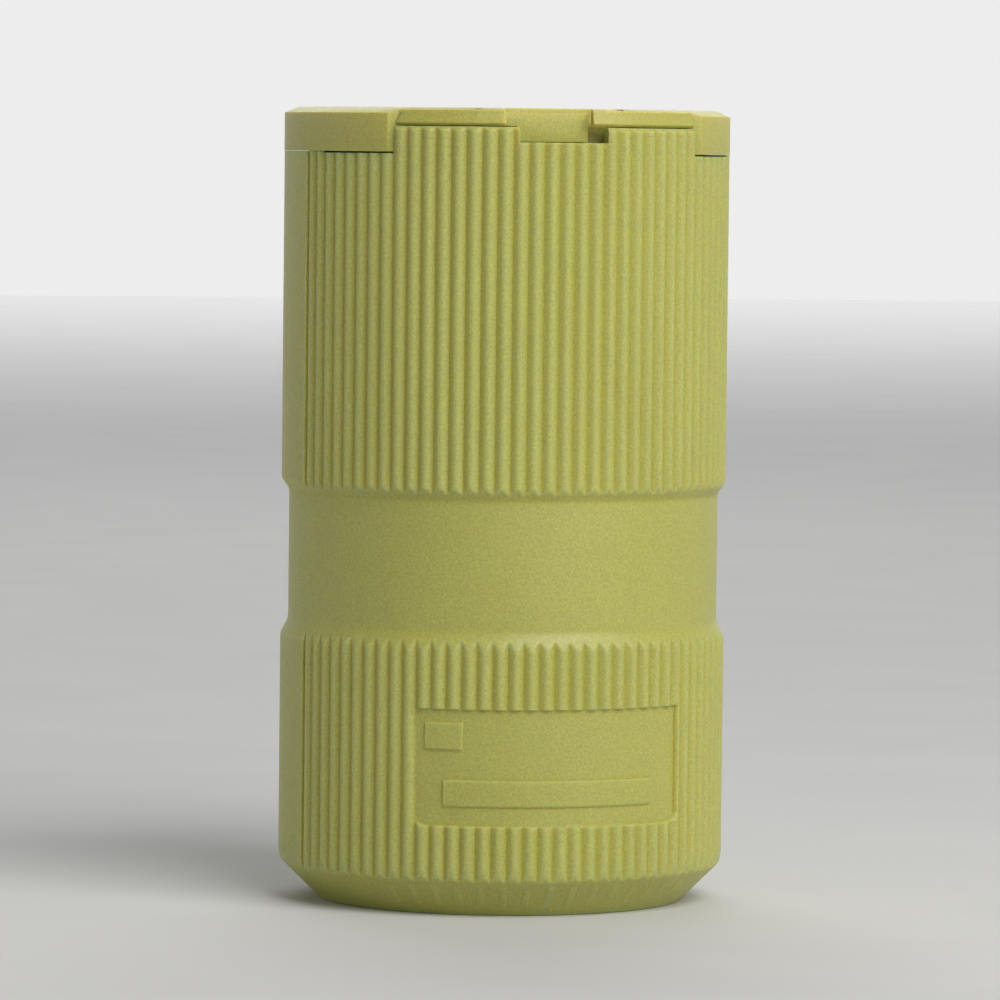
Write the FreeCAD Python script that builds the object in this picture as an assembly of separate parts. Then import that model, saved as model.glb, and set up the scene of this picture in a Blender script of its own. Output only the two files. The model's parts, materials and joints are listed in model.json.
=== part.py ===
import FreeCAD, Part

# Locking cord connector, female, three wires: ribbed moulded housing, face plate with curved slots,
# contact carrier, terminal block, and an internal cord clamp of two sliding jaws.
#
# Frame: the mating face lies on z = 0 and the cord leaves upwards along +Z. The label pads face -Y and
# +Y, and the jaws slide along X. Units are millimetres.

import math
import os

from FreeCAD import Vector

# ---- clearances ----
SLIDE_GAP = 0.2
PLATE_GAP = 0.15
FIT_GAP = 0.1
STOP_GAP = 0.3
THREAD_GAP = 0.05

# ---- driving dimensions of the housing ----
HEIGHT = 90.0
CREST_R = 25.4
RIB_DEPTH = 0.46
RIB_PITCH_DEG = 4.0
RIBS_PER_SIDE = 38
RIB_CREST_SHARE = 0.6
WAIST_R = 24.49
BEVEL = 4.5
BEVEL_ROUND = 2.0
LOWER_SHOULDER_Z = (29.6, 32.1)
UPPER_SHOULDER_Z = (46.2, 48.1)
LABEL_Z = (10.2, 23.4)
LABEL_DEG = (-36.6, 38.2)
LABEL_FLOOR_R = 24.85
RIM_Z = 87.9
EAR_FLOOR_Z = 84.85
EAR_HALF_Y = 17.95
LOWER_BORE_R = 22.2
UPPER_BORE_R = 23.0
BORE_STEP_Z = 66.5
SEAT_R = 18.9
SEAT_Z = (2.6, 5.0)
FACE_RECESS_R = 19.8
KEY_WIDTH = 3.0
KEY_TOP_Z = 24.0
KEY_DEPTH = 1.3
NOTCH_X = (-4.6, 5.6)
NOTCH_FLOOR_Z = 86.2
VALLEY_R = CREST_R - RIB_DEPTH
FLAT_R = CREST_R - BEVEL
TOP_SLOPE_R = 1.6
TOP_SLOPE_Z = 0.65

# ---- poles: where each contact stands round the axis ----
POLES = {"ground": 90.0, "neutral": 215.0, "line": 325.0}
SLOT_R = 11.9
SLOT_WIDTH = 2.0
SLOT_HALF_DEG = 25.0
HOOK_LENGTH = 3.2
SLOT_LEAD_IN = 0.35

# ---- face plate ----
FLANGE_R = 19.65
FLANGE_Z = 2.55
BOSS_R = 18.75

# ---- assembly screws ----
SCREW_X = 16.4
SCREW_R = 1.6
SCREW_HEAD_R = 2.3
SCREW_HEAD_Z = (0.4, 2.4)
SCREW_TIP_Z = 37.5
HEAD_BORE_R = 2.5
SHANK_BORE_R = 1.9
RETAINER_R = 2.4
RETAINER_T = 0.8

# ---- contact carrier and terminal block ----
CARRIER_R = 22.0
CARRIER_Z = (5.0, 24.0)
POCKET_R = (9.7, 14.2)
POCKET_HALF_DEG = 27.0
BLOCK_Z = (24.0, 27.0)
BARRIER_TOP_Z = 44.0
BARRIER_T = 1.8
BARRIER_R = 21.5
HUB_R = 4.2

# ---- contacts, in each pole's own frame: e outwards, t round, z up ----
LEAF_T = 0.8
LEAF_GAP = 2.0
LEAF_HALF_DEG = 19.0
LEAF_Z = (8.0, 21.0)
WEB_T = 1.0
WEB_HALF_DEG = 9.0
RISER_E = (12.6, 13.8)
NECK_HALF_T = 3.0
PLATE_HALF_T = 4.6
PLATE_Z = (28.0, 41.0)
TERMINAL_Z = 35.0
TERMINAL_SCREW_R = 1.9
TERMINAL_TIP_E = 9.6
TERMINAL_HEAD_R = 3.3
TERMINAL_HEAD_T = 2.2
PRESSURE_E = (15.9, 17.1)
PRESSURE_HALF_T = 4.4
PRESSURE_Z = (30.5, 40.0)

# ---- clamp yoke ----
YOKE_LEG_X = (13.6, 21.6)
YOKE_LEG_HALF_Y = 3.3
YOKE_PLATE_Z = (68.0, 71.5)
YOKE_PLATE_R = 22.7
YOKE_HOLE_R = 9.5
RAIL_Y = 19.2
RAIL_TOP_Z = 84.0
RAIL_R = 22.55
LIP_Y = 17.6
LIP_Z = 81.5
INSERT_R = 2.6
INSERT_Z = (29.0, 37.0)
SEAL_R = (6.8, 13.8)
SEAL_T = 1.4

# ---- clamp jaws; both are the same moulding, half a turn apart ----
JAW_TRAVEL = 1.9
JAW_FACE_X = 2.3
JAW_R = 22.6
JAW_FOOT_Z = 71.6
JAW_FLANGE_TOP_Z = 81.3
JAW_FLANGE_HALF_Y = 18.9
JAW_NECK_HALF_Y = 17.3
JAW_HEAD_Z = 84.2
BAND_Z = 88.0
BAND_FRONT_X = -6.03
BAND_BACK_X = -3.9
BAND_EDGE = 0.35
BAND_TILT = 0.4
EAR_Z = 85.05
EAR_GAP = 0.07
EAR_SLOT = 0.25
EAR_SLOT_DEPTH = 1.1
TONGUE_Y = (21.5, 22.9)
TONGUE_TIP_X = 3.6
TONGUE_Z = (86.3, 89.5)
LEDGE_Y = (19.5, 22.4)
LEDGE_Z = 88.6
SADDLE_R = 8.0
SADDLE_Z = (73.0, 87.6)
SADDLE_LANDS = 4
SADDLE_GROOVE = 1.2
SADDLE_GROOVE_DEPTH = 0.8
MOUTH_R = 10.4

# ---- screwdriver slots: half width and depth ----
DRIVE_SLOT = (0.5, 1.0)
SMALL_DRIVE_SLOT = (0.4, 0.9)

# ---- clamp screws, along X ----
CLAMP_SCREW_Y = 12.8
CLAMP_SCREW_Z = 76.5
CLAMP_SCREW_R = 1.9
CLAMP_HEAD_X = (12.9, 15.2)
CLAMP_HEAD_R = 3.3
CLAMP_TIP_X = -15.0
NUT_X = (-14.4, -11.4)
NUT_FLATS = 7.0

BIG = 60.0


def box(x, y, z):
    """A box between the limits in three pairs."""
    return Part.makeBox(x[1] - x[0], y[1] - y[0], z[1] - z[0], Vector(x[0], y[0], z[0]))


def disc(radius, z, x=0.0, y=0.0):
    """A cylinder along Z between two heights."""
    return Part.makeCylinder(radius, z[1] - z[0], Vector(x, y, z[0]))


def rod_x(radius, x, y, z):
    """A cylinder along X between two places."""
    return Part.makeCylinder(radius, x[1] - x[0], Vector(x[0], y, z), Vector(1, 0, 0))


def ring(inner, outer, z):
    return disc(outer, z).cut(disc(inner, z))


def polar(radius, degrees, z=0.0):
    a = math.radians(degrees)
    return Vector(radius * math.cos(a), radius * math.sin(a), z)


def ring_sector(inner, outer, start_deg, end_deg, z):
    """A piece of ring from one angle to another."""
    mid = (start_deg + end_deg) / 2
    edges = [
        Part.LineSegment(polar(inner, start_deg, z[0]), polar(outer, start_deg, z[0])),
        Part.Arc(polar(outer, start_deg, z[0]), polar(outer, mid, z[0]), polar(outer, end_deg, z[0])),
        Part.LineSegment(polar(outer, end_deg, z[0]), polar(inner, end_deg, z[0])),
        Part.Arc(polar(inner, end_deg, z[0]), polar(inner, mid, z[0]), polar(inner, start_deg, z[0])),
    ]
    wire = Part.Wire([e.toShape() for e in edges])
    return Part.Face(wire).extrude(Vector(0, 0, z[1] - z[0]))


def revolve(points):
    """A solid of revolution about Z from (radius, z) corners."""
    corners = [Vector(r, 0, z) for r, z in points]
    face = Part.Face(Part.makePolygon(corners + corners[:1]))
    return face.revolve(Vector(0, 0, 0), Vector(0, 0, 1), 360)


def turned(shape, degrees):
    copy = shape.copy()
    copy.rotate(Vector(0, 0, 0), Vector(0, 0, 1), degrees)
    return copy


def hexagon(flats, x, y, z):
    """A hexagonal prism along X."""
    corner = flats / math.sqrt(3)
    angles = [math.radians(60 * k) for k in range(6)]
    points = [Vector(x[0], y + corner * math.sin(a), z + corner * math.cos(a)) for a in angles]
    return Part.Face(Part.makePolygon(points + points[:1])).extrude(Vector(x[1] - x[0], 0, 0))


# ---- housing ----


def ribbed_prism():
    """The housing's outline from above, with ribs between the two smooth strips, as tall as the part."""
    edges = []
    crest = RIB_PITCH_DEG * RIB_CREST_SHARE
    for side_deg in (-90.0, 90.0):
        start = side_deg - RIBS_PER_SIDE * RIB_PITCH_DEG / 2
        for k in range(RIBS_PER_SIDE):
            mid = start + (k + 0.5) * RIB_PITCH_DEG
            low, high = mid - crest / 2, mid + crest / 2
            valley_end = mid - RIB_PITCH_DEG / 2
            next_valley = mid + RIB_PITCH_DEG / 2
            edges.append(arc(VALLEY_R, valley_end, low))
            top = polar(CREST_R, mid)
            edges.append(Part.Arc(polar(VALLEY_R, low), top, polar(VALLEY_R, high)).toShape())
            edges.append(arc(VALLEY_R, high, next_valley))
        end = start + RIBS_PER_SIDE * RIB_PITCH_DEG
        strip_end = end + 180.0 - RIBS_PER_SIDE * RIB_PITCH_DEG
        edges.append(Part.LineSegment(polar(VALLEY_R, end), polar(CREST_R, end)).toShape())
        edges.append(arc(CREST_R, end, strip_end))
        edges.append(Part.LineSegment(polar(CREST_R, strip_end), polar(VALLEY_R, strip_end)).toShape())
    return Part.Face(Part.Wire(edges)).extrude(Vector(0, 0, HEIGHT))


def arc(radius, start_deg, end_deg):
    ends = polar(radius, start_deg), polar(radius, end_deg)
    return Part.Arc(ends[0], polar(radius, (start_deg + end_deg) / 2), ends[1]).toShape()


def housing_envelope():
    """The turned outline: bevel, shoulders and waist, with the bevel's upper corner rounded."""
    outline = revolve([
        (0, 0),
        (FLAT_R, 0),
        (CREST_R, BEVEL),
        (CREST_R, LOWER_SHOULDER_Z[0]),
        (WAIST_R, LOWER_SHOULDER_Z[1]),
        (WAIST_R, UPPER_SHOULDER_Z[0]),
        (CREST_R, UPPER_SHOULDER_Z[1]),
        (CREST_R, RIM_Z),
        (0, RIM_Z),
    ])
    boxes = [(edge, edge.BoundBox) for edge in outline.Edges]
    corner = [edge for edge, b in boxes if b.ZLength < FIT_GAP and abs(b.Center.z - BEVEL) < FIT_GAP]
    return outline.makeFillet(BEVEL_ROUND, corner)


def label_pads():
    pads = []
    for side_deg in (-90.0, 90.0):
        limits = side_deg + LABEL_DEG[0], side_deg + LABEL_DEG[1]
        pads.append(ring_sector(LABEL_FLOOR_R, CREST_R + 1, *limits, LABEL_Z))
    return pads


def key_rib(width, inner_r, z):
    """Two ribs on the inside of the bore, front and back."""
    bar = box((-width / 2, width / 2), (-BIG, BIG), z)
    return bar.common(ring(inner_r, LOWER_BORE_R + 0.5, z))


def housing():
    body = housing_envelope().common(ribbed_prism())
    bores = [
        disc(FACE_RECESS_R, (-1, SEAT_Z[0])),
        disc(SEAT_R, (0, SEAT_Z[1] + 1)),
        disc(LOWER_BORE_R, (SEAT_Z[1], HEIGHT)),
        disc(UPPER_BORE_R, (BORE_STEP_Z, HEIGHT)),
    ]
    ear_gap = box((-BIG, BIG), (-EAR_HALF_Y, EAR_HALF_Y), (EAR_FLOOR_Z, HEIGHT))
    notch = box(NOTCH_X, (-BIG, 0), (NOTCH_FLOOR_Z, HEIGHT))
    cuts = bores + label_pads() + [ear_gap, notch, turned(notch, 180)]
    keys = key_rib(KEY_WIDTH, LOWER_BORE_R - KEY_DEPTH, (SEAT_Z[1], KEY_TOP_Z))
    return body.cut(cuts).fuse(keys).removeSplitter()


# ---- face plate ----


def slot_cutter(centre_deg, grow, z):
    """A curved slot with round ends."""
    half = SLOT_WIDTH / 2 + grow
    ends = centre_deg - SLOT_HALF_DEG, centre_deg + SLOT_HALF_DEG
    cutter = ring_sector(SLOT_R - half, SLOT_R + half, *ends, z)
    for end in ends:
        place = polar(SLOT_R, end)
        cutter = cutter.fuse(disc(half, z, place.x, place.y))
    return cutter


def hook_cutter(centre_deg, grow, z):
    """The ground slot's short leg towards the axis, at the slot's end."""
    half = SLOT_WIDTH / 2 + grow
    leg = box((SLOT_R - HOOK_LENGTH, SLOT_R), (-half, half), z)
    tip = disc(half, z, SLOT_R - HOOK_LENGTH, 0)
    return turned(leg.fuse(tip), centre_deg - SLOT_HALF_DEG)


def slot_set(grow, z):
    cutters = [slot_cutter(deg, grow, z) for deg in POLES.values()]
    return cutters + [hook_cutter(POLES["ground"], grow, z)]


def face_plate():
    plate = disc(FLANGE_R, (0, FLANGE_Z)).fuse(disc(BOSS_R, (0, SEAT_Z[1])))
    cuts = slot_set(0, (-1, SEAT_Z[1] + 1)) + slot_set(SLOT_LEAD_IN, (-1, SLOT_LEAD_IN))
    for side in (-1, 1):
        cuts.append(disc(HEAD_BORE_R, (-1, SCREW_HEAD_Z[1]), side * SCREW_X))
        cuts.append(disc(SHANK_BORE_R, (-1, SEAT_Z[1] + 1), side * SCREW_X))
    return plate.cut(cuts).removeSplitter()


def assembly_screw(side):
    x = side * SCREW_X
    head = disc(SCREW_HEAD_R, SCREW_HEAD_Z, x)
    shank = disc(SCREW_R, (SCREW_HEAD_Z[1], SCREW_TIP_Z), x)
    half, depth = SMALL_DRIVE_SLOT
    slot_z = SCREW_HEAD_Z[0] - 1, SCREW_HEAD_Z[0] + depth
    slot = box((x - half, x + half), (-SCREW_HEAD_R, SCREW_HEAD_R), slot_z)
    return head.fuse(shank).cut(slot).removeSplitter()


def screw_retainer(side):
    """The ring that keeps a loosened assembly screw in the face plate."""
    z = SEAT_Z[1], SEAT_Z[1] + RETAINER_T
    return disc(RETAINER_R, z, side * SCREW_X).cut(disc(SCREW_R, z, side * SCREW_X))


# ---- interior ----


def contact_carrier():
    body = disc(CARRIER_R, CARRIER_Z)
    through = CARRIER_Z[0] - 1, CARRIER_Z[1] + 1
    pockets = [
        ring_sector(*POCKET_R, deg - POCKET_HALF_DEG, deg + POCKET_HALF_DEG, through)
        for deg in POLES.values()
    ]
    cuts = pockets + [key_rib(KEY_WIDTH + 2 * SLIDE_GAP, LOWER_BORE_R - KEY_DEPTH - SLIDE_GAP, through)]
    for side in (-1, 1):
        cuts.append(disc(SHANK_BORE_R, through, side * SCREW_X))
        well_z = CARRIER_Z[0] - 1, CARRIER_Z[0] + RETAINER_T + 2 * SLIDE_GAP
        cuts.append(disc(RETAINER_R + SLIDE_GAP, well_z, side * SCREW_X))
    return body.cut(cuts).removeSplitter()


def barrier_angles():
    order = sorted(POLES.values())
    following = order[1:] + [order[0] + 360]
    return [(a + b) / 2 for a, b in zip(order, following)]


def terminal_block():
    body = disc(CARRIER_R, BLOCK_Z)
    hub = disc(HUB_R, (BLOCK_Z[0], BARRIER_TOP_Z))
    for deg in barrier_angles():
        wall = box((0, BARRIER_R), (-BARRIER_T / 2, BARRIER_T / 2), (BLOCK_Z[0], BARRIER_TOP_Z))
        body = body.fuse(turned(wall, deg))
    body = body.fuse(hub)
    neck = box(
        (RISER_E[0] - SLIDE_GAP, RISER_E[1] + SLIDE_GAP),
        (-NECK_HALF_T - SLIDE_GAP, NECK_HALF_T + SLIDE_GAP),
        (BLOCK_Z[0] - 1, BLOCK_Z[1] + 1),
    )
    cuts = [turned(neck, deg) for deg in POLES.values()]
    for side in (-1, 1):
        cuts.append(disc(SHANK_BORE_R, (BLOCK_Z[0] - 1, BLOCK_Z[1] + 1), side * SCREW_X))
    return body.cut(cuts).removeSplitter()


def contact(deg):
    """Two curved leaves for the blade, a web, a riser and a tapped terminal plate."""
    low, high = SLOT_R - LEAF_GAP / 2, SLOT_R + LEAF_GAP / 2
    inner = ring_sector(low - LEAF_T, low, -LEAF_HALF_DEG, LEAF_HALF_DEG, LEAF_Z)
    outer = ring_sector(high, high + LEAF_T, -LEAF_HALF_DEG, LEAF_HALF_DEG, LEAF_Z)
    web_z = LEAF_Z[1] - WEB_T, LEAF_Z[1]
    web = ring_sector(low - LEAF_T, high + LEAF_T, -WEB_HALF_DEG, WEB_HALF_DEG, web_z)
    neck = box(RISER_E, (-NECK_HALF_T, NECK_HALF_T), (web_z[0], PLATE_Z[0]))
    plate = box(RISER_E, (-PLATE_HALF_T, PLATE_HALF_T), PLATE_Z)
    shape = inner.fuse([outer, web, neck, plate])
    thread = rod_x(TERMINAL_SCREW_R + THREAD_GAP, (0, BIG), 0, TERMINAL_Z)
    return turned(shape.cut(thread).removeSplitter(), deg)


def pressure_plate(deg):
    plate = box(PRESSURE_E, (-PRESSURE_HALF_T, PRESSURE_HALF_T), PRESSURE_Z)
    hole = rod_x(TERMINAL_SCREW_R + PLATE_GAP, (0, BIG), 0, TERMINAL_Z)
    return turned(plate.cut(hole), deg)


def terminal_screw(deg):
    head_e = PRESSURE_E[1], PRESSURE_E[1] + TERMINAL_HEAD_T
    head = rod_x(TERMINAL_HEAD_R, head_e, 0, TERMINAL_Z)
    shank = rod_x(TERMINAL_SCREW_R, (TERMINAL_TIP_E, head_e[0]), 0, TERMINAL_Z)
    slot_z = TERMINAL_Z - TERMINAL_HEAD_R, TERMINAL_Z + TERMINAL_HEAD_R
    half, depth = DRIVE_SLOT
    slot = box((head_e[1] - depth, head_e[1] + 1), (-half, half), slot_z)
    return turned(head.fuse(shank).cut(slot).removeSplitter(), deg)


def clamp_yoke():
    """Two legs, a plate with the cord's hole, and the rails that the jaws slide under."""
    body = disc(YOKE_PLATE_R, YOKE_PLATE_Z)
    for side in (0, 180):
        leg_z = BLOCK_Z[1], YOKE_PLATE_Z[1]
        leg = box(YOKE_LEG_X, (-YOKE_LEG_HALF_Y, YOKE_LEG_HALF_Y), leg_z)
        body = body.fuse(turned(leg.common(disc(YOKE_LEG_X[1], leg_z)), side))
    rail_z = YOKE_PLATE_Z[0], RAIL_TOP_Z
    rails = disc(RAIL_R, rail_z).cut(box((-BIG, BIG), (-RAIL_Y, RAIL_Y), rail_z))
    lip_z = LIP_Z, RAIL_TOP_Z
    lips = disc(RAIL_R, lip_z).cut(box((-BIG, BIG), (-LIP_Y, LIP_Y), lip_z))
    body = body.fuse([rails, lips])
    seal_seat = disc(SEAL_R[1] + FIT_GAP, (YOKE_PLATE_Z[1] - SEAL_T, YOKE_PLATE_Z[1] + 1))
    cuts = [disc(YOKE_HOLE_R, (YOKE_PLATE_Z[0] - 1, YOKE_PLATE_Z[1])), seal_seat]
    for side in (-1, 1):
        x = side * SCREW_X
        cuts.append(disc(INSERT_R, INSERT_Z, x))
        cuts.append(disc(SHANK_BORE_R, (BLOCK_Z[1] - 1, SCREW_TIP_Z + 1), x))
    return body.cut(cuts).removeSplitter()


def yoke_insert(side):
    x = side * SCREW_X
    return disc(INSERT_R, INSERT_Z, x).cut(disc(SCREW_R + THREAD_GAP, INSERT_Z, x))


def cord_seal():
    return ring(*SEAL_R, (YOKE_PLATE_Z[1] - SEAL_T, YOKE_PLATE_Z[1]))


# ---- cord clamp ----


def saddle():
    """What the cord takes out of both jaws: lands, grooves and a bell mouth."""
    cutter = disc(SADDLE_R, (JAW_FOOT_Z - 1, HEIGHT + 1))
    land = (SADDLE_Z[1] - SADDLE_Z[0] - (SADDLE_LANDS - 1) * SADDLE_GROOVE) / SADDLE_LANDS
    for k in range(SADDLE_LANDS - 1):
        low = SADDLE_Z[0] + land * (k + 1) + SADDLE_GROOVE * k
        cutter = cutter.fuse(disc(SADDLE_R + SADDLE_GROOVE_DEPTH, (low, low + SADDLE_GROOVE)))
    flare = HEIGHT - SADDLE_Z[1]
    mouth = Part.makeCone(SADDLE_R, MOUTH_R, flare, Vector(0, 0, SADDLE_Z[1]))
    foot = SADDLE_Z[0] - JAW_FOOT_Z
    toe = Part.makeCone(SADDLE_R + foot, SADDLE_R, foot, Vector(0, 0, JAW_FOOT_Z))
    return cutter.fuse([mouth, toe])


def jaw_envelope():
    """The round outline that both jaws stay inside, with its sloping top edge."""
    return revolve([
        (0, JAW_FOOT_Z),
        (CREST_R, JAW_FOOT_Z),
        (CREST_R, HEIGHT - TOP_SLOPE_Z),
        (CREST_R - TOP_SLOPE_R, HEIGHT),
        (0, HEIGHT),
    ])


def rim_band():
    """The whole round rim above the housing, leaning back; each jaw carries half of it."""
    return revolve([
        (0, BAND_Z),
        (VALLEY_R - BAND_EDGE, BAND_Z),
        (VALLEY_R, BAND_Z + BAND_EDGE),
        (VALLEY_R - BAND_TILT, HEIGHT - TOP_SLOPE_Z),
        (VALLEY_R - BAND_TILT, HEIGHT),
        (0, HEIGHT),
    ])


def ear_slot():
    """The slot between the ear and the band, on the tongue's side."""
    z = BAND_Z - 1, HEIGHT - TOP_SLOPE_Z
    edge = EAR_HALF_Y - EAR_GAP
    slot = box((-BIG, -JAW_FACE_X), (-edge - EAR_SLOT, -edge), z)
    return slot.common(ring(VALLEY_R - EAR_SLOT_DEPTH, CREST_R + 1, z))


def jaw_blank():
    """The left jaw before its holes: foot flange under the rails, neck, head, band and ear."""
    left = -BIG, -JAW_FACE_X
    foot_z = JAW_FOOT_Z, JAW_FLANGE_TOP_Z
    foot = disc(JAW_R, foot_z).common(box(left, (-JAW_FLANGE_HALF_Y, JAW_FLANGE_HALF_Y), foot_z))
    neck_z = JAW_FLANGE_TOP_Z, JAW_HEAD_Z
    neck = disc(JAW_R, neck_z).common(box(left, (-JAW_NECK_HALF_Y, JAW_NECK_HALF_Y), neck_z))
    head_z = JAW_HEAD_Z, HEIGHT
    head = disc(JAW_R, head_z).common(box(left, (-BIG, BIG), head_z))
    band = rim_band().common(box(left, (-BIG, BIG), (BAND_Z, HEIGHT)))
    ear_z = EAR_Z, HEIGHT
    half = EAR_HALF_Y - EAR_GAP
    ear = disc(CREST_R, ear_z).common(box(left, (-half, half), ear_z))
    return foot.fuse([neck, head, band, ear]).common(jaw_envelope())


def tongue():
    """The arm that slides past the other jaw: a toe in the housing's notch, and a ledge behind it."""
    y = -TONGUE_Y[1], -TONGUE_Y[0]
    root_x = BAND_FRONT_X - 3
    arm = box((root_x, TONGUE_TIP_X), y, (BAND_Z, TONGUE_Z[1]))
    toe = box((NOTCH_X[0] + FIT_GAP, TONGUE_TIP_X), y, (TONGUE_Z[0], BAND_Z))
    ledge_y = -LEDGE_Y[1], -LEDGE_Y[0]
    ledge = box((root_x, TONGUE_TIP_X), ledge_y, (LEDGE_Z, HEIGHT))
    return arm.fuse([toe, ledge])


def jaw():
    """The left jaw. The right jaw is the same piece turned half round."""
    top = TONGUE_Z[0] - SLIDE_GAP, HEIGHT + 1
    front_room = box((BAND_FRONT_X, BIG), (-BIG, -TONGUE_Y[0]), top)
    pocket_x = -TONGUE_TIP_X - 2 * JAW_TRAVEL - STOP_GAP, BIG
    tongue_pocket = box(pocket_x, (TONGUE_Y[0] - SLIDE_GAP, TONGUE_Y[1] + SLIDE_GAP), top)
    ledge_y = LEDGE_Y[0] - SLIDE_GAP, LEDGE_Y[1] + SLIDE_GAP
    ledge_pocket = box(pocket_x, ledge_y, (LEDGE_Z - SLIDE_GAP, HEIGHT + 1))
    band_end = box((BAND_BACK_X, BIG), (TONGUE_Y[0] - SLIDE_GAP, BIG), top)
    shank_r = CLAMP_SCREW_R + SLIDE_GAP
    y, z = CLAMP_SCREW_Y, CLAMP_SCREW_Z
    cuts = [
        front_room,
        tongue_pocket,
        ledge_pocket,
        band_end,
        ear_slot(),
        saddle(),
        rod_x(shank_r, (-BIG, 0), y, z),
        rod_x(CLAMP_HEAD_R + SLIDE_GAP, (-BIG, -CLAMP_HEAD_X[0]), y, z),
        rod_x(shank_r, (-BIG, 0), -y, z),
        hexagon(NUT_FLATS + FIT_GAP, (-BIG, NUT_X[1]), -y, z),
    ]
    return jaw_blank().cut(cuts).fuse(tongue()).removeSplitter()


def clamp_screw():
    """The screw whose head sits in the right jaw, at the front."""
    y, z = -CLAMP_SCREW_Y, CLAMP_SCREW_Z
    head = rod_x(CLAMP_HEAD_R, CLAMP_HEAD_X, y, z)
    shank = rod_x(CLAMP_SCREW_R, (CLAMP_TIP_X, CLAMP_HEAD_X[0]), y, z)
    half, depth = DRIVE_SLOT
    slot_x = CLAMP_HEAD_X[1] - depth, CLAMP_HEAD_X[1] + 1
    slot = box(slot_x, (y - half, y + half), (z - CLAMP_HEAD_R, z + CLAMP_HEAD_R))
    return head.fuse(shank).cut(slot).removeSplitter()


def clamp_nut():
    """The nut of that screw, in the left jaw."""
    y, z = -CLAMP_SCREW_Y, CLAMP_SCREW_Z
    return hexagon(NUT_FLATS, NUT_X, y, z).cut(rod_x(CLAMP_SCREW_R + THREAD_GAP, NUT_X, y, z))


def build():
    nodes = {
        "housing": housing(),
        "face_plate": face_plate(),
        "contact_carrier": contact_carrier(),
        "terminal_block": terminal_block(),
        "clamp_yoke": clamp_yoke(),
        "cord_seal": cord_seal(),
        "clamp_jaw_left": jaw(),
        "clamp_jaw_right": turned(jaw(), 180),
        "clamp_screw_front": clamp_screw(),
        "clamp_screw_back": turned(clamp_screw(), 180),
        "clamp_nut_front": clamp_nut(),
        "clamp_nut_back": turned(clamp_nut(), 180),
    }
    for name, deg in POLES.items():
        nodes["contact_" + name] = contact(deg)
        nodes["pressure_plate_" + name] = pressure_plate(deg)
        nodes["terminal_screw_" + name] = terminal_screw(deg)
    for name, side in (("left", -1), ("right", 1)):
        nodes["assembly_screw_" + name] = assembly_screw(side)
        nodes["screw_retainer_" + name] = screw_retainer(side)
        nodes["yoke_insert_" + name] = yoke_insert(side)
    return nodes


def main():
    os.makedirs("parts", exist_ok=True)
    for name, shape in build().items():
        solids = shape.Solids
        if not shape.isValid() or not solids:
            raise SystemExit(f"{name} is not a valid solid")
        print(f"{name}: {len(solids)} solid(s), {shape.Volume:.0f} mm3")
        solid = solids[0] if len(solids) == 1 else Part.makeCompound(solids)
        solid.exportStep(os.path.join("parts", name + ".step"))


main()
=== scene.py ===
import json
import math

import bmesh
import bpy
from mathutils import Matrix, Vector


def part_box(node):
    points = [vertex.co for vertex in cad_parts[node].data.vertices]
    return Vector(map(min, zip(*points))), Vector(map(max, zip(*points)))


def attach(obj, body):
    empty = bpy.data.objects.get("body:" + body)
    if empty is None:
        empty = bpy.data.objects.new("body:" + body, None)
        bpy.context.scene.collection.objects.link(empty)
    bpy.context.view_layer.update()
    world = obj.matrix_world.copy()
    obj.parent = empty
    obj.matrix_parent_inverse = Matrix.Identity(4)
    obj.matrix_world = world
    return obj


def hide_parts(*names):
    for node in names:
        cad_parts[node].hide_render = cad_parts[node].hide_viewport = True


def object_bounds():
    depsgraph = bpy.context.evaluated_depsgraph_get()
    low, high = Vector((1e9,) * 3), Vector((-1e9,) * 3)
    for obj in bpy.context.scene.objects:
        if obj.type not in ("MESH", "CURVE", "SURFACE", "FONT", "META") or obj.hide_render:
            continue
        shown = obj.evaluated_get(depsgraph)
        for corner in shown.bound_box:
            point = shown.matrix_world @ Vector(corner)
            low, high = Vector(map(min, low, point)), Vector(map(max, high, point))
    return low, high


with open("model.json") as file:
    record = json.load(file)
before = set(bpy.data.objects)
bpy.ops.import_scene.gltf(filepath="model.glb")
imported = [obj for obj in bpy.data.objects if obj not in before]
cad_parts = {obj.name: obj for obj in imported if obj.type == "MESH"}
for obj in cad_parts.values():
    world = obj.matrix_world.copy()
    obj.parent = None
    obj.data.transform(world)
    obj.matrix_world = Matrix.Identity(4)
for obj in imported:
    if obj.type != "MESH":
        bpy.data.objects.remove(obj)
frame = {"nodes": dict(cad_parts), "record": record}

CAD_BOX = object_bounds()
MM = 0.001

# ---- the frame's own sizes ----
HOUSING_LOW, HOUSING_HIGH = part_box("housing")
TOP_Z = CAD_BOX[1].z
RIM_Z = HOUSING_HIGH.z
CREST_R = (CAD_BOX[1].x - CAD_BOX[0].x) / 2
PART_MIDDLE = Vector((0, 0, TOP_Z / 2))

# ---- housing, with the sizes of the frame's solid ----
RIB_DEPTH = 0.46 * MM
WAIST_DEPTH = 0.91 * MM
VALLEY_R = CREST_R - RIB_DEPTH
WAIST_R = CREST_R - WAIST_DEPTH
BEVEL = 4.5 * MM
BEVEL_ROUND = 2.0 * MM
LOWER_SHOULDER = (29.6 * MM, 32.1 * MM)
UPPER_SHOULDER = (46.2 * MM, 48.1 * MM)
RIB_PITCH = math.radians(4.0)
RIBBED_HALF = math.radians(76.0)
BORE_R = 22.2 * MM
UPPER_BORE_R = 23.0 * MM
BORE_STEP_Z = 66.5 * MM
SEAT_R = 18.9 * MM
SEAT_Z = (2.6 * MM, 5.0 * MM)
FACE_RECESS_R = 19.8 * MM
EAR_HALF_Y = 17.95 * MM
EAR_FLOOR_Z = 84.85 * MM
KEY_HALF = math.radians(3.9)
KEY_DEPTH = 1.3 * MM
KEY_TOP_Z = 24.0 * MM
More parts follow.
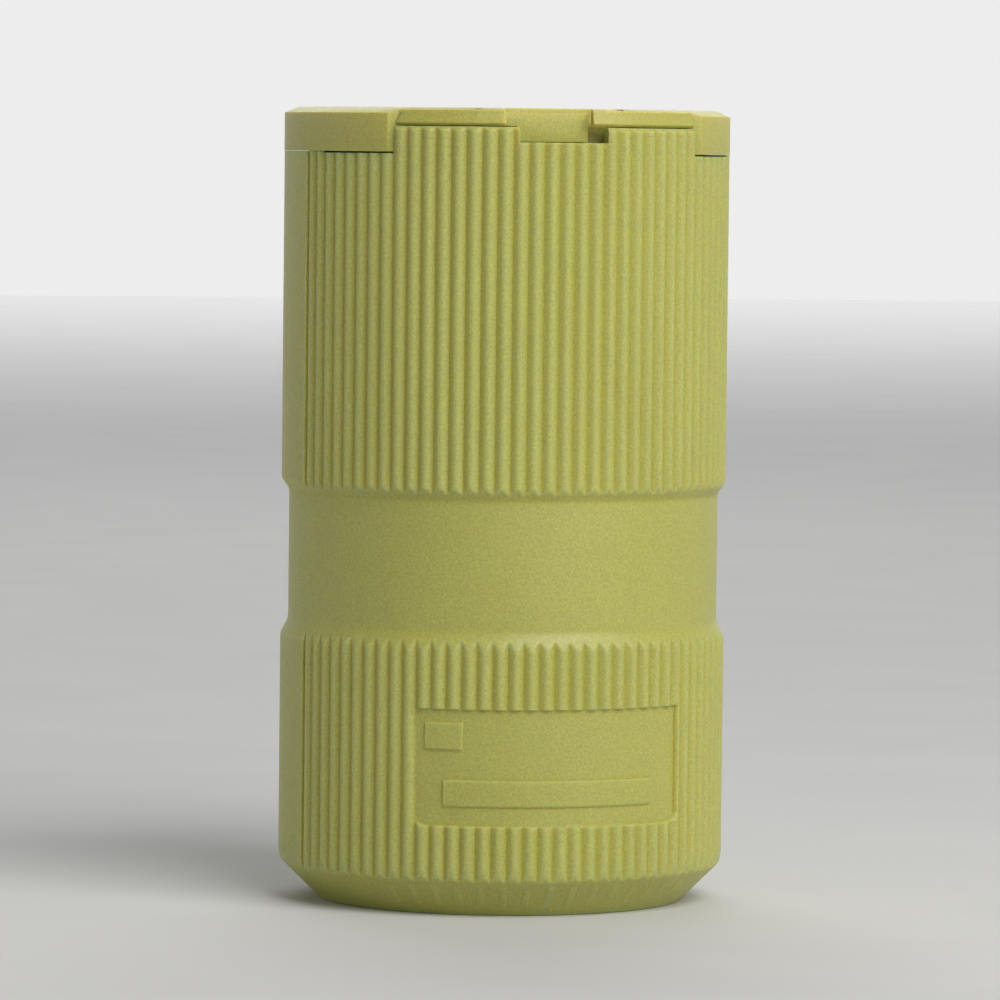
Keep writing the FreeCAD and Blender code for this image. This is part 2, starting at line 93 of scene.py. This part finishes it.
NOTCH_X = (-4.6 * MM, 5.6 * MM)
NOTCH_FLOOR_Z = 86.2 * MM

# ---- housing, details that only the visible mesh has ----
RIB_FULLNESS = 0.75
EDGE_SOFT = 0.12 * MM
PARTING_DEPTH = 0.05 * MM
PARTING_WIDTH = 0.16 * MM
RIM_LEAD = 0.45 * MM
KEY_LEAD = 0.3 * MM
EAR_REST_X = 23.3 * MM
EAR_REST_Z = 85.02 * MM

# ---- label pad and its plain marks ----
LABEL_Z = (10.2 * MM, 23.4 * MM)
LABEL_SPAN = (math.radians(-36.6), math.radians(38.2))
LABEL_FLOOR_R = 24.85 * MM
LABEL_CORNER = 1.3 * MM
MARK_HEIGHT = 0.24 * MM
MARK_SOFT = 0.18 * MM
TICK_HEIGHT = 0.6 * MARK_HEIGHT
TILE_ANGLE = math.radians(-28.5)
TILE_HALF = 2.3 * MM
TILE_Z = (18.7 * MM, 21.9 * MM)
BAR_HALF = math.radians(28.7)
BAR_Z = (12.4 * MM, 15.5 * MM)
TICK_COUNT = 15
TICK_SPREAD = math.radians(44.0)
TICK_HALF = math.radians(1.0)
TICK_Z = (1.1 * MM, 3.5 * MM)

# ---- the housing's grid: columns round it, and how far past a change the close rows go on ----
COLUMNS_PER_RIB = 12
ROW_MARGIN = 0.3 * MM
RIBBED_MARGIN = 0.5 * MM
WAIST_MARGIN = 0.4 * MM
RIM_MARGIN = 0.6 * MM

# ---- edges of the finished copies ----
WELD = 0.001 * MM
FLAT_ANGLE = math.radians(1.0)
SHARP_ANGLE = math.radians(35)
EASE_ANGLE = math.radians(40)
EASE_SEGMENTS = 3
JAW_EASE = 0.3 * MM
PLATE_EASE = 0.12 * MM


# ---- small helpers ----


def smooth(value, low, high):
    """0 below low, 1 above high, and a smooth step between."""
    t = min(max((value - low) / (high - low), 0.0), 1.0)
    return t * t * (3 - 2 * t)


def soft_min(a, b, width):
    """The lesser of two lengths, with the corner between them rounded."""
    t = min(max(0.5 + (b - a) / (2 * width), 0.0), 1.0)
    return b * (1 - t) + a * t - width * t * (1 - t)


def link(obj):
    bpy.context.scene.collection.objects.link(obj)
    return obj


def mesh_object(name, bm, material=None):
    """A new object made from a bmesh, which is freed."""
    mesh = bpy.data.meshes.new(name)
    bm.to_mesh(mesh)
    bm.free()
    if material:
        mesh.materials.append(material)
    return link(bpy.data.objects.new(name, mesh))


def body_of_node(node):
    bodies = frame["record"]["behaviour"]["bodies"]
    return next(body for body, nodes in bodies.items() if node in nodes)


def slot_of_node(node):
    return next(s["material_slot"] for s in frame["record"]["subparts"] if s["node"] == node)


# ---- materials ----


class Shader:
    """A Principled material with the few nodes that each finish here needs."""

    def __init__(self, name):
        self.material = bpy.data.materials.new(name)
        self.material.use_nodes = True
        self.nodes = self.material.node_tree.nodes
        self.links = self.material.node_tree.links
        self.bsdf = self.nodes["Principled BSDF"]
        self.coords = self.nodes.new("ShaderNodeTexCoord").outputs["Object"]

    def set(self, **values):
        for key, value in values.items():
            self.bsdf.inputs[key.replace("_", " ")].default_value = value

    def noise(self, scale, detail=4.0, stretch=(1, 1, 1)):
        mapping = self.nodes.new("ShaderNodeMapping")
        mapping.inputs["Scale"].default_value = stretch
        self.links.new(self.coords, mapping.inputs["Vector"])
        node = self.nodes.new("ShaderNodeTexNoise")
        node.inputs["Scale"].default_value = scale
        node.inputs["Detail"].default_value = detail
        self.links.new(mapping.outputs["Vector"], node.inputs["Vector"])
        return node.outputs["Fac"]

    def relief(self):
        """Below a half in narrow hollows, a half on plain surfaces and above it on crests."""
        return self.nodes.new("ShaderNodeNewGeometry").outputs["Pointiness"]

    def ramp(self, factor, low, high, stops=(0.3, 0.7)):
        node = self.nodes.new("ShaderNodeValToRGB")
        for element, place, colour in zip(node.color_ramp.elements, stops, (low, high)):
            element.position = place
            element.color = (*colour, 1)
        self.links.new(factor, node.inputs["Fac"])
        return node.outputs["Color"]

    def mix(self, share, a, b, kind="MIX"):
        node = self.nodes.new("ShaderNodeMix")
        node.data_type = "RGBA"
        node.blend_type = kind
        sockets = [s for s in node.inputs if s.type == "RGBA"]
        node.inputs["Factor"].default_value = share
        self.links.new(a, sockets[0])
        self.links.new(b, sockets[1])
        return next(s for s in node.outputs if s.type == "RGBA")

    def colour(self, socket):
        self.links.new(socket, self.bsdf.inputs["Base Color"])

    def roughness(self, factor, low, high):
        node = self.nodes.new("ShaderNodeMapRange")
        node.inputs["To Min"].default_value = low
        node.inputs["To Max"].default_value = high
        self.links.new(factor, node.inputs["Value"])
        self.links.new(node.outputs["Result"], self.bsdf.inputs["Roughness"])

    def bump(self, heights, distance):
        """Layers of relief, each with its share of the distance."""
        previous = None
        for height, share in heights:
            node = self.nodes.new("ShaderNodeBump")
            node.inputs["Distance"].default_value = distance * share
            node.inputs["Strength"].default_value = 1.0
            self.links.new(height, node.inputs["Height"])
            if previous:
                self.links.new(previous, node.inputs["Normal"])
            previous = node.outputs["Normal"]
        self.links.new(previous, self.bsdf.inputs["Normal"])


FINE_SHARE = 0.6
FINE_DARKER = 0.85
FINE_PALER = 1.15
# painted light on the ribs: a warm, darker painted shade in narrow hollows and a paler, cooler painted
# highlight on crests
HOLLOW_PAINTED_SHADE = (1.0, 0.86, 0.32)
CREST_PAINTED_HIGHLIGHT = (0.86, 0.91, 0.96)
PAINTED_LIGHT_STOPS = (0.46, 0.54)
YELLOW_GLOW = (1.0, 0.55, 0.08)
IVORY_GLOW = (1.0, 0.9, 0.75)
GLOW_REACH = 2.0 * MM


def moulded(name, dark, light, rough=(0.38, 0.56), inside=0.8, glow=YELLOW_GLOW, paint_relief_light=False):
    """Moulded nylon: flow clouding, a fine spark-eroded grain, uneven gloss, and light let inside; if
    asked, painted warm shade in narrow hollows and a painted pale highlight on crests.
    """
    s = Shader(name)
    cloud = s.noise(scale=70, detail=3.0, stretch=(1, 1, 0.5))
    fine = s.noise(scale=4200, detail=2.0)
    grit = s.noise(scale=900, detail=3.0)
    darker = [FINE_DARKER * level for level in dark]
    paler = [FINE_PALER * level for level in light]
    colour = s.mix(FINE_SHARE, s.ramp(cloud, dark, light), s.ramp(fine, darker, paler))
    if paint_relief_light:
        # painted shade in narrow hollows and painted highlight on crests, multiplied into the base
        # colour by how pointed the surface is
        painted_shade_and_highlight = s.ramp(s.relief(), HOLLOW_PAINTED_SHADE, CREST_PAINTED_HIGHLIGHT, PAINTED_LIGHT_STOPS)
        colour = s.mix(1.0, colour, painted_shade_and_highlight, "MULTIPLY")
    s.colour(colour)
    s.roughness(grit, *rough)
    s.bump([(grit, 1.0), (fine, 0.6)], distance=0.03 * MM)
    s.set(IOR=1.53, Subsurface_Weight=inside, Subsurface_Scale=GLOW_REACH, Subsurface_Radius=glow)
    return s.material


def yellow_nylon():
    """The housing's plastic, with painted warm shade in narrow hollows and a painted pale highlight on
    the crests of its ribs.
    """
    return moulded("yellow_nylon", dark=(0.395, 0.416, 0.125), light=(0.462, 0.485, 0.168), paint_relief_light=True)


def jaw_nylon_painted_light():
    """The housing's plastic again, a little warmer: painted warm light, standing in for the lit look of
    the jaws' tongue and band.
    """
    return moulded("jaw_nylon_painted_light", dark=(0.385, 0.367, 0.078), light=(0.450, 0.430, 0.105))


def ivory_nylon():
    return moulded(
        "ivory_nylon",
        dark=(0.66, 0.63, 0.53),
        light=(0.76, 0.73, 0.63),
        rough=(0.4, 0.55),
        inside=0.3,
        glow=IVORY_GLOW,
    )


def dark_nylon():
    return moulded(
        "dark_nylon",
        dark=(0.018, 0.018, 0.02),
        light=(0.035, 0.035, 0.038),
        rough=(0.45, 0.6),
        inside=0.0,
    )


def seal_rubber():
    s = Shader("seal_rubber")
    grain = s.noise(scale=1500, detail=3.0)
    s.colour(s.ramp(grain, (0.012, 0.012, 0.013), (0.035, 0.035, 0.036)))
    s.roughness(s.noise(scale=300), 0.6, 0.8)
    s.bump([(grain, 1.0)], distance=0.02 * MM)
    return s.material


def metal(name, dark, light, rough):
    """Drawn or plated metal: fine draw lines and a faint tarnish."""
    s = Shader(name)
    lines = s.noise(scale=700, detail=2.0, stretch=(1, 1, 8))
    tarnish = s.noise(scale=120, detail=4.0)
    s.colour(s.ramp(tarnish, dark, light))
    s.roughness(lines, *rough)
    s.bump([(lines, 1.0)], distance=0.006 * MM)
    s.set(Metallic=1.0)
    return s.material


def brass():
    return metal("brass", dark=(0.50, 0.33, 0.11), light=(0.72, 0.52, 0.20), rough=(0.2, 0.36))


def plated_steel():
    return metal("plated_steel", dark=(0.46, 0.45, 0.43), light=(0.62, 0.61, 0.58), rough=(0.2, 0.38))


def green_screw():
    return metal("green_screw", dark=(0.02, 0.16, 0.05), light=(0.05, 0.27, 0.09), rough=(0.28, 0.42))


MATERIALS = {
    "yellow_nylon": yellow_nylon(),
    "jaw_nylon_painted_light": jaw_nylon_painted_light(),
    "ivory_nylon": ivory_nylon(),
    "dark_nylon": dark_nylon(),
    "seal_rubber": seal_rubber(),
    "brass": brass(),
    "plated_steel": plated_steel(),
    "green_screw": green_screw(),
}


# ---- the housing's outside, as one radius for each angle and height ----


def side_angle(angle):
    """The angle from the nearer label pad's centre line, and which side of it."""
    front = (angle + math.pi / 2 + math.pi) % (2 * math.pi) - math.pi
    back = (angle - math.pi / 2 + math.pi) % (2 * math.pi) - math.pi
    return front if abs(front) < abs(back) else back


def rib_radius(off):
    """Rounded ribs with a valley on the pad's centre line; beyond them a strip with a parting line."""
    if abs(off) > RIBBED_HALF:
        from_parting = abs(abs(off) - math.pi / 2) * CREST_R
        return CREST_R - PARTING_DEPTH * math.exp(-(from_parting / PARTING_WIDTH) ** 2)
    wave = 0.5 - 0.5 * math.cos(2 * math.pi * off / RIB_PITCH)
    return VALLEY_R + (CREST_R - VALLEY_R) * wave ** RIB_FULLNESS


def envelope_radius(z):
    """The turned outline: bevel, shoulders and waist, with blends."""
    reach = BEVEL_ROUND * math.tan(math.pi / 8)
    if z < BEVEL - reach * math.sqrt(0.5):
        return CREST_R - BEVEL + z
    if z < BEVEL + reach:
        return CREST_R - BEVEL_ROUND + math.sqrt(BEVEL_ROUND ** 2 - (BEVEL + reach - z) ** 2)
    down = smooth(z, *LOWER_SHOULDER)
    up = smooth(z, *UPPER_SHOULDER)
    return CREST_R + (WAIST_R - CREST_R) * (down - up)


def window(along, z, half, z_range, corner, soft):
    """1 inside a window on the unrolled surface, 0 outside; the two lower corners are rounded."""
    z_mid = (z_range[0] + z_range[1]) / 2
    z_half = (z_range[1] - z_range[0]) / 2
    r = corner if z < z_mid else 0.0
    past = abs(along) - (half - r), abs(z - z_mid) - (z_half - r)
    distance = math.hypot(max(past[0], 0.0), max(past[1], 0.0)) + min(max(past), 0.0) - r
    return 1 - smooth(distance, -soft, 0.0)


def mark_relief(off, z):
    """The plain tile and bar on the label pad, as a share of their full height."""
    tile = window((off - TILE_ANGLE) * CREST_R, z, TILE_HALF, TILE_Z, 0.0, MARK_SOFT)
    bar = window(off * CREST_R, z, BAR_HALF * CREST_R, BAR_Z, 0.0, MARK_SOFT)
    return max(tile, bar)


def tick_relief(off, z):
    """Plain raised ticks round the bevel."""
    pitch = 2 * TICK_SPREAD / (TICK_COUNT - 1)
    if abs(off) > TICK_SPREAD + TICK_HALF:
        return 0.0
    nearest = round(off / pitch) * pitch
    return window((off - nearest) * CREST_R, z, TICK_HALF * CREST_R, TICK_Z, 0.0, MARK_SOFT)


def outer_radius(angle, z):
    """The turned outline with its ribs, the label pad, the plain marks and the lead at the rim."""
    off = side_angle(angle)
    radius = soft_min(envelope_radius(z), rib_radius(off), EDGE_SOFT)
    pad_mid = (LABEL_SPAN[0] + LABEL_SPAN[1]) / 2
    pad_half = (LABEL_SPAN[1] - LABEL_SPAN[0]) / 2 * CREST_R
    pad = window((off - pad_mid) * CREST_R, z, pad_half, LABEL_Z, LABEL_CORNER, 2 * EDGE_SOFT)
    floor = LABEL_FLOOR_R + MARK_HEIGHT * mark_relief(off, z)
    radius = radius * (1 - pad) + min(floor, CREST_R) * pad
    radius += TICK_HEIGHT * tick_relief(off, z)
    rim = smooth(z, RIM_Z - RIM_LEAD, RIM_Z)
    return min(radius, CREST_R) * (1 - rim) + min(radius, VALLEY_R) * rim


def row_heights():
    """Heights of the grid's rows: close together only where the outline changes."""
    stretches = [
        (HOUSING_LOW.z, 26),
        (BEVEL, 6),
        (LABEL_Z[0] - ROW_MARGIN, 84),
        (LABEL_Z[1] + ROW_MARGIN, 6),
        (LOWER_SHOULDER[0] - RIBBED_MARGIN, 18),
        (LOWER_SHOULDER[1] + WAIST_MARGIN, 6),
        (UPPER_SHOULDER[0] - WAIST_MARGIN, 16),
        (UPPER_SHOULDER[1] + RIBBED_MARGIN, 12),
        (EAR_FLOOR_Z - ROW_MARGIN, 8),
        (RIM_Z - RIM_MARGIN, 8),
        (RIM_Z, 0),
    ]
    rows = []
    for (low, count), (high, _) in zip(stretches, stretches[1:]):
        rows += [low + (high - low) * k / count for k in range(count)]
    return rows + [RIM_Z]


def key_radius(angle, z):
    """The lower bore, with the two ribs that guide the interior."""
    return BORE_R - (KEY_DEPTH if abs(side_angle(angle)) < KEY_HALF else 0.0)


def constant(radius):
    """The same radius for every angle and height."""
    return lambda angle, z: radius


def inside_outline():
    """From the rim down the stepped bore with its key ribs, and round the seat ring."""
    return [
        (constant(UPPER_BORE_R), RIM_Z),
        (constant(UPPER_BORE_R), BORE_STEP_Z),
        (constant(BORE_R), BORE_STEP_Z),
        (constant(BORE_R), KEY_TOP_Z),
        (key_radius, KEY_TOP_Z - KEY_LEAD),
        (key_radius, SEAT_Z[1]),
        (constant(SEAT_R), SEAT_Z[1]),
        (constant(SEAT_R), SEAT_Z[0]),
        (constant(FACE_RECESS_R), SEAT_Z[0]),
        (constant(FACE_RECESS_R), HOUSING_LOW.z),
    ]


def housing_mesh():
    """The outside grid and the inside, closed at the rim and at the bevelled end."""
    columns = int(round(2 * math.pi / RIB_PITCH)) * COLUMNS_PER_RIB
    outside = [(outer_radius, z) for z in row_heights()]
    bm = bmesh.new()
    loops = []
    for radius, z in outside + inside_outline():
        ring = []
        for k in range(columns):
            angle = 2 * math.pi * k / columns
            r = radius(angle, z)
            ring.append(bm.verts.new((r * math.cos(angle), r * math.sin(angle), z)))
        loops.append(ring)
    for a, b in zip(loops, loops[1:] + loops[:1]):
        for k in range(columns):
            n = (k + 1) % columns
            bm.faces.new((a[k], a[n], b[n], b[k]))
    bmesh.ops.recalc_face_normals(bm, faces=bm.faces)
    return bm


def cutter(name, low, high):
    """A plain box between two corners."""
    bm = bmesh.new()
    bmesh.ops.create_cube(bm, size=1.0)
    centre = [(a + b) / 2 for a, b in zip(low, high)]
    size = [b - a for a, b in zip(low, high)]
    placed = Matrix.Translation(centre) @ Matrix.Diagonal((*size, 1))
    bmesh.ops.transform(bm, matrix=placed, verts=bm.verts)
    return mesh_object(name, bm)


def apply_modifiers(obj):
    """Turn an object's modifiers into its own mesh."""
    graph = bpy.context.evaluated_depsgraph_get()
    mesh = bpy.data.meshes.new_from_object(obj.evaluated_get(graph))
    obj.modifiers.clear()
    obj.data = mesh


def cut(obj, boxes):
    """Take boxes away from an object."""
    tools = [cutter(f"cut_{k}", low, high) for k, (low, high) in enumerate(boxes)]
    for tool in tools:
        modifier = obj.modifiers.new(tool.name, "BOOLEAN")
        modifier.operation = "DIFFERENCE"
        modifier.solver = "EXACT"
        modifier.object = tool
    apply_modifiers(obj)
    for tool in tools:
        bpy.data.objects.remove(tool)


def shade(obj):
    """Smooth shading, with the sharp edges kept."""
    obj.data.shade_smooth()
    obj.data.set_sharp_from_angle(angle=SHARP_ANGLE)


def housing():
    """The visible housing: its turned body, cut for the ears and for the notch on each side."""
    obj = mesh_object("housing_shell", housing_mesh(), MATERIALS["yellow_nylon"])
    far = 2 * CREST_R
    above = TOP_Z + MM
    ear_gap = ((-EAR_REST_X, -EAR_HALF_Y, EAR_FLOOR_Z), (EAR_REST_X, EAR_HALF_Y, above))
    ear_rest = ((-far, -EAR_HALF_Y, EAR_REST_Z), (far, EAR_HALF_Y, above))
    front = ((NOTCH_X[0], -far, NOTCH_FLOOR_Z), (NOTCH_X[1], 0, above))
    back = ((-NOTCH_X[1], 0, NOTCH_FLOOR_Z), (-NOTCH_X[0], far, above))
    cut(obj, [ear_gap, ear_rest, front, back])
    shade(obj)
    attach(obj, "housing")
    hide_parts("housing")


# ---- the frame's other parts, with their edges eased ----


def eased(node, width, finish):
    """A copy of a frame part with its sharp edges rounded off, which stands for that part."""
    source = frame["nodes"][node]
    bm = bmesh.new()
    bm.from_mesh(source.data)
    bmesh.ops.transform(bm, matrix=source.matrix_world, verts=bm.verts)
    bmesh.ops.remove_doubles(bm, verts=bm.verts, dist=WELD)
    bmesh.ops.dissolve_limit(bm, angle_limit=FLAT_ANGLE, verts=bm.verts, edges=bm.edges)
    obj = mesh_object(node + "_finish", bm, MATERIALS[finish])
    modifier = obj.modifiers.new("ease", "BEVEL")
    modifier.width = width
    modifier.segments = EASE_SEGMENTS
    modifier.limit_method = "ANGLE"
    modifier.angle_limit = EASE_ANGLE
    modifier.use_clamp_overlap = True
    apply_modifiers(obj)
    shade(obj)
    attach(obj, body_of_node(node))
    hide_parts(node)


def carried(node):
    """A frame part that keeps its own shape and gets a finished material."""
    obj = frame["nodes"][node]
    obj.data.materials.clear()
    obj.data.materials.append(MATERIALS[slot_of_node(node)])


EASED = {
    "clamp_jaw_left": (JAW_EASE, "jaw_nylon_painted_light"),
    "clamp_jaw_right": (JAW_EASE, "jaw_nylon_painted_light"),
    "face_plate": (PLATE_EASE, slot_of_node("face_plate")),
}


# ---- stage, light and camera ----

FLOOR_HALF = 3.0
FLOOR_DROP = 0.05 * MM
FLOOR_GREY = (0.58, 0.60)
WALL_LIGHT = 0.85
CEILING_LIGHT = 0.12
WALL_SINE = (0.12, 0.34)
WHITE = (1, 1, 1)
WARM_WHITE = (1, 0.985, 0.95)
COOL_WHITE = (0.94, 0.97, 1)
FLOOR_LIGHT_PLACE = (0.85, 3.5, 1.7)
CAMERA_AZIMUTH = -13.65
CAMERA_ELEVATION = 3.0
CAMERA_ROLL = 0.63
CAMERA_DISTANCE = 0.765
CAMERA_CLIP = (0.05, 20.0)
CAMERA_LENS = 240.7
SENSOR_WIDTH = 36.0
AIM_LEFT = 0.38 * MM
AIM_UP = 0.35 * MM


def floor():
    bm = bmesh.new()
    bmesh.ops.create_grid(bm, x_segments=1, y_segments=1, size=FLOOR_HALF)
    s = Shader("floor")
    dark, light = ([level] * 3 for level in FLOOR_GREY)
    s.colour(s.ramp(s.noise(scale=30, detail=2.0), dark, light))
    s.set(Roughness=0.9)
    obj = mesh_object("floor", bm, s.material)
    obj.location.z = CAD_BOX[0].z - FLOOR_DROP


def outward(azimuth, elevation):
    """A direction away from the part; angles in degrees, azimuth 0 straight in front of the label."""
    around, up = math.radians(azimuth), math.radians(elevation)
    return Vector((math.sin(around) * math.cos(up), -math.cos(around) * math.cos(up), math.sin(up)))


def soft_light(name, size, watts, colour=WHITE):
    """A square light, which shines straight down until it is turned."""
    data = bpy.data.lights.new(name, "AREA")
    data.size = size
    data.energy = watts
    data.color = colour
    return link(bpy.data.objects.new(name, data))


def aim_light(obj, azimuth, elevation, distance):
    """Place a light and aim it at the part's middle."""
    away = outward(azimuth, elevation)
    obj.location = PART_MIDDLE + away * distance
    obj.rotation_euler = (-away).to_track_quat("-Z", "Y").to_euler()


def studio_world():
    """A pale room: bright near the horizon all round, dimmer overhead."""
    world = bpy.data.worlds.new("studio")
    world.use_nodes = True
    nodes, links = world.node_tree.nodes, world.node_tree.links
    direction = nodes.new("ShaderNodeTexCoord").outputs["Generated"]
    split = nodes.new("ShaderNodeSeparateXYZ")
    links.new(direction, split.inputs["Vector"])
    height = nodes.new("ShaderNodeMath")
    height.operation = "ABSOLUTE"
    links.new(split.outputs["Z"], height.inputs[0])
    level = nodes.new("ShaderNodeMapRange")
    level.interpolation_type = "SMOOTHSTEP"
    level.inputs["From Min"].default_value = WALL_SINE[0]
    level.inputs["From Max"].default_value = WALL_SINE[1]
    level.inputs["To Min"].default_value = WALL_LIGHT
    level.inputs["To Max"].default_value = CEILING_LIGHT
    links.new(height.outputs["Value"], level.inputs["Value"])
    links.new(level.outputs["Result"], nodes["Background"].inputs["Strength"])
    nodes["Background"].inputs["Color"].default_value = (1, 1, 1, 1)
    bpy.context.scene.world = world


def lights():
    key = soft_light("key", size=0.75, watts=9.6, colour=WARM_WHITE)
    aim_light(key, azimuth=23, elevation=40, distance=0.95)
    back = soft_light("back", size=0.6, watts=1.2)
    aim_light(back, azimuth=170, elevation=40, distance=1.0)
    rear_fill = soft_light("rear_fill", size=0.7, watts=0.6, colour=COOL_WHITE)
    aim_light(rear_fill, azimuth=-115, elevation=20, distance=1.1)
    # this one shines down behind the part, so that the floor stays pale far away
    floor_light = soft_light("floor_light", size=3.4, watts=80.0)
    floor_light.location = FLOOR_LIGHT_PLACE


def camera():
    """A long lens, three degrees up and a little to the left of the label."""
    data = bpy.data.cameras.new("camera")
    data.sensor_width = SENSOR_WIDTH
    data.lens = CAMERA_LENS
    data.clip_start, data.clip_end = CAMERA_CLIP
    back = outward(CAMERA_AZIMUTH, CAMERA_ELEVATION)
    turn = (-back).to_track_quat("-Z", "Y").to_matrix()
    right, up = turn.col[0].copy(), turn.col[1].copy()
    target = PART_MIDDLE - right * AIM_LEFT + up * AIM_UP
    obj = link(bpy.data.objects.new("camera", data))
    rotation = turn @ Matrix.Rotation(math.radians(CAMERA_ROLL), 3, "Z")
    obj.matrix_world = Matrix.Translation(target + back * CAMERA_DISTANCE) @ rotation.to_4x4()
    bpy.context.scene.camera = obj


def build():
    camera()
    floor()
    lights()
    studio_world()
    housing()
    for node, (width, finish) in EASED.items():
        eased(node, width, finish)
    for node in frame["nodes"]:
        if node != "housing" and node not in EASED:
            carried(node)


bpy.context.scene.view_settings.view_transform = "Standard"
build()
